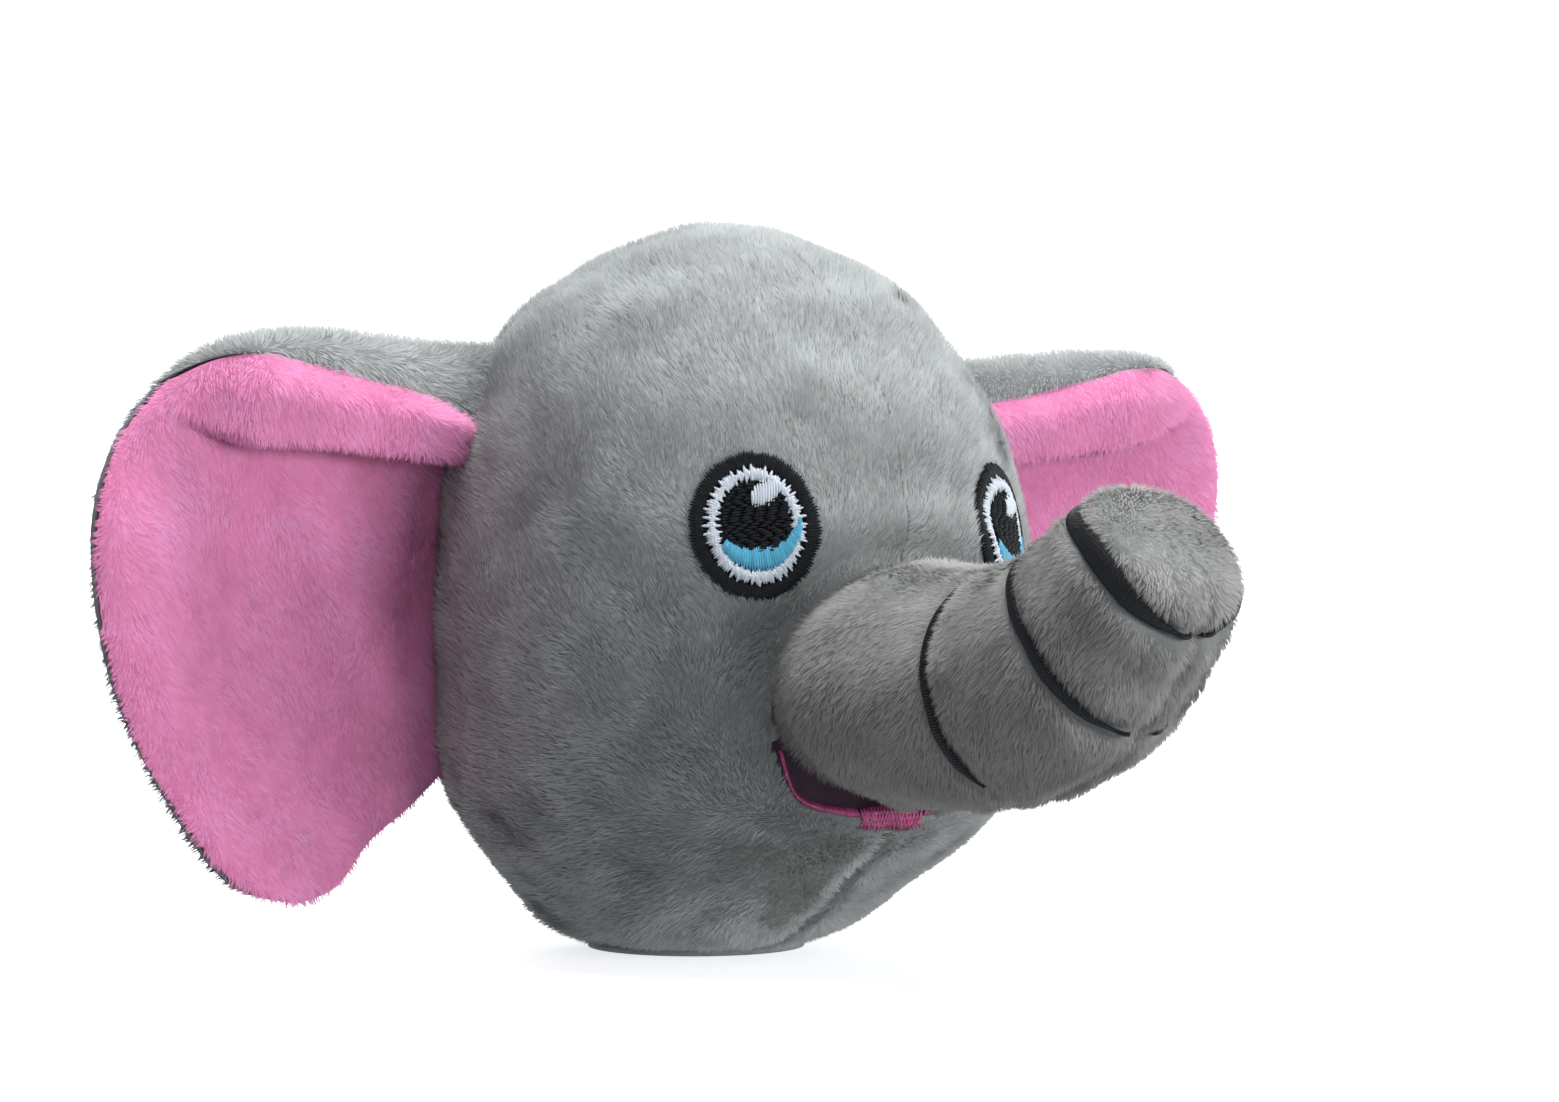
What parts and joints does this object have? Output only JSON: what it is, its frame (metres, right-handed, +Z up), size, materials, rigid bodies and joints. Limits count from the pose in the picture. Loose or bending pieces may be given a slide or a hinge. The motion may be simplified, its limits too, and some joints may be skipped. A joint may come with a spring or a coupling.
{
  "type": "stuffed elephant head",
  "caption": "Small stuffed elephant head of short plush, with an upturned trunk that bends, floppy folded ears, stitched eyes and a stitched smile, resting on a flat base.",
  "frame": {"origin": "on the resting plane, under the middle of the head", "axes": "+Z up, the face and trunk look along -Y, the elephant's right ear is at -X"},
  "size_m": [0.1866, 0.1404, 0.0993],
  "materials": {
    "grey_plush": "short grey pile",
    "trunk_plush": "short warm grey pile",
    "pink_plush": "short pink pile",
    "stuffing": "loose polyester fibre",
    "black_thread": "satin embroidery thread",
    "white_thread": "satin embroidery thread",
    "blue_thread": "satin embroidery thread",
    "mouth_felt": "dark smooth lining cloth",
    "lip_thread": "pink embroidery thread",
    "grey_thread": "plain sewing thread"
  },
  "bodies": {
    "head": {"face_panel_right": "grey_plush", "face_panel_left": "grey_plush", "back_panel_right": "grey_plush", "back_panel_left": "grey_plush", "base_panel": "grey_plush", "head_stuffing": "stuffing", "mouth_lining": "mouth_felt", "lower_lip_right": "lip_thread", "lower_lip_left": "lip_thread", "tongue": "lip_thread", "muzzle_panel": "trunk_plush", "muzzle_stuffing": "stuffing", "rear_seam_thread": "grey_thread", "eye_outline_right": "black_thread", "eye_white_right": "white_thread", "eye_pupil_right": "black_thread", "eye_glint_right": "white_thread", "eye_iris_right": "blue_thread", "eye_outline_left": "black_thread", "eye_white_left": "white_thread", "eye_pupil_left": "black_thread", "eye_glint_left": "white_thread", "eye_iris_left": "blue_thread"},
    "trunk_lower": {"trunk_lower_panel": "trunk_plush", "trunk_lower_stuffing": "stuffing", "trunk_wrinkle_1_right": "black_thread", "trunk_wrinkle_1_left": "black_thread"},
    "trunk_upper": {"trunk_upper_panel": "trunk_plush", "trunk_upper_stuffing": "stuffing", "trunk_wrinkle_2": "black_thread"},
    "trunk_tip": {"trunk_tip_panel": "trunk_plush", "trunk_tip_stuffing": "stuffing", "trunk_wrinkle_3": "black_thread"},
    "ear_right": {"ear_front_right": "pink_plush", "ear_back_right": "grey_plush"},
    "ear_left": {"ear_front_left": "pink_plush", "ear_back_left": "grey_plush"}
  },
  "joints": [
    {"name": "trunk_lift", "type": "hinge", "parent": "head", "child": "trunk_lower", "pos_m": [0, -0.05946, 0.03785], "axis": [-1, 0, 0], "range_deg": [-10, 12], "stiffness_Nm_per_rad": 0.3},
    {"name": "trunk_swing", "type": "hinge", "parent": "trunk_lower", "child": "trunk_upper", "pos_m": [0, -0.07251, 0.04115], "axis": [0, 0.3928, 0.9196], "range_deg": [-12, 12], "stiffness_Nm_per_rad": 0.15},
    {"name": "trunk_curl", "type": "hinge", "parent": "trunk_upper", "child": "trunk_tip", "pos_m": [0, -0.08196, 0.04761], "axis": [-1, 0, 0], "range_deg": [-12, 14], "stiffness_Nm_per_rad": 0.1},
    {"name": "ear_right_flap", "type": "hinge", "parent": "head", "child": "ear_right", "pos_m": [-0.0418, 0.0142, 0.054], "axis": [0, 0, 1], "range_deg": [-25, 35], "stiffness_Nm_per_rad": 0.03},
    {"name": "ear_left_flap", "type": "hinge", "parent": "head", "child": "ear_left", "pos_m": [0.0418, 0.0142, 0.054], "axis": [0, 0, -1], "range_deg": [-25, 35], "stiffness_Nm_per_rad": 0.03}
  ]
}
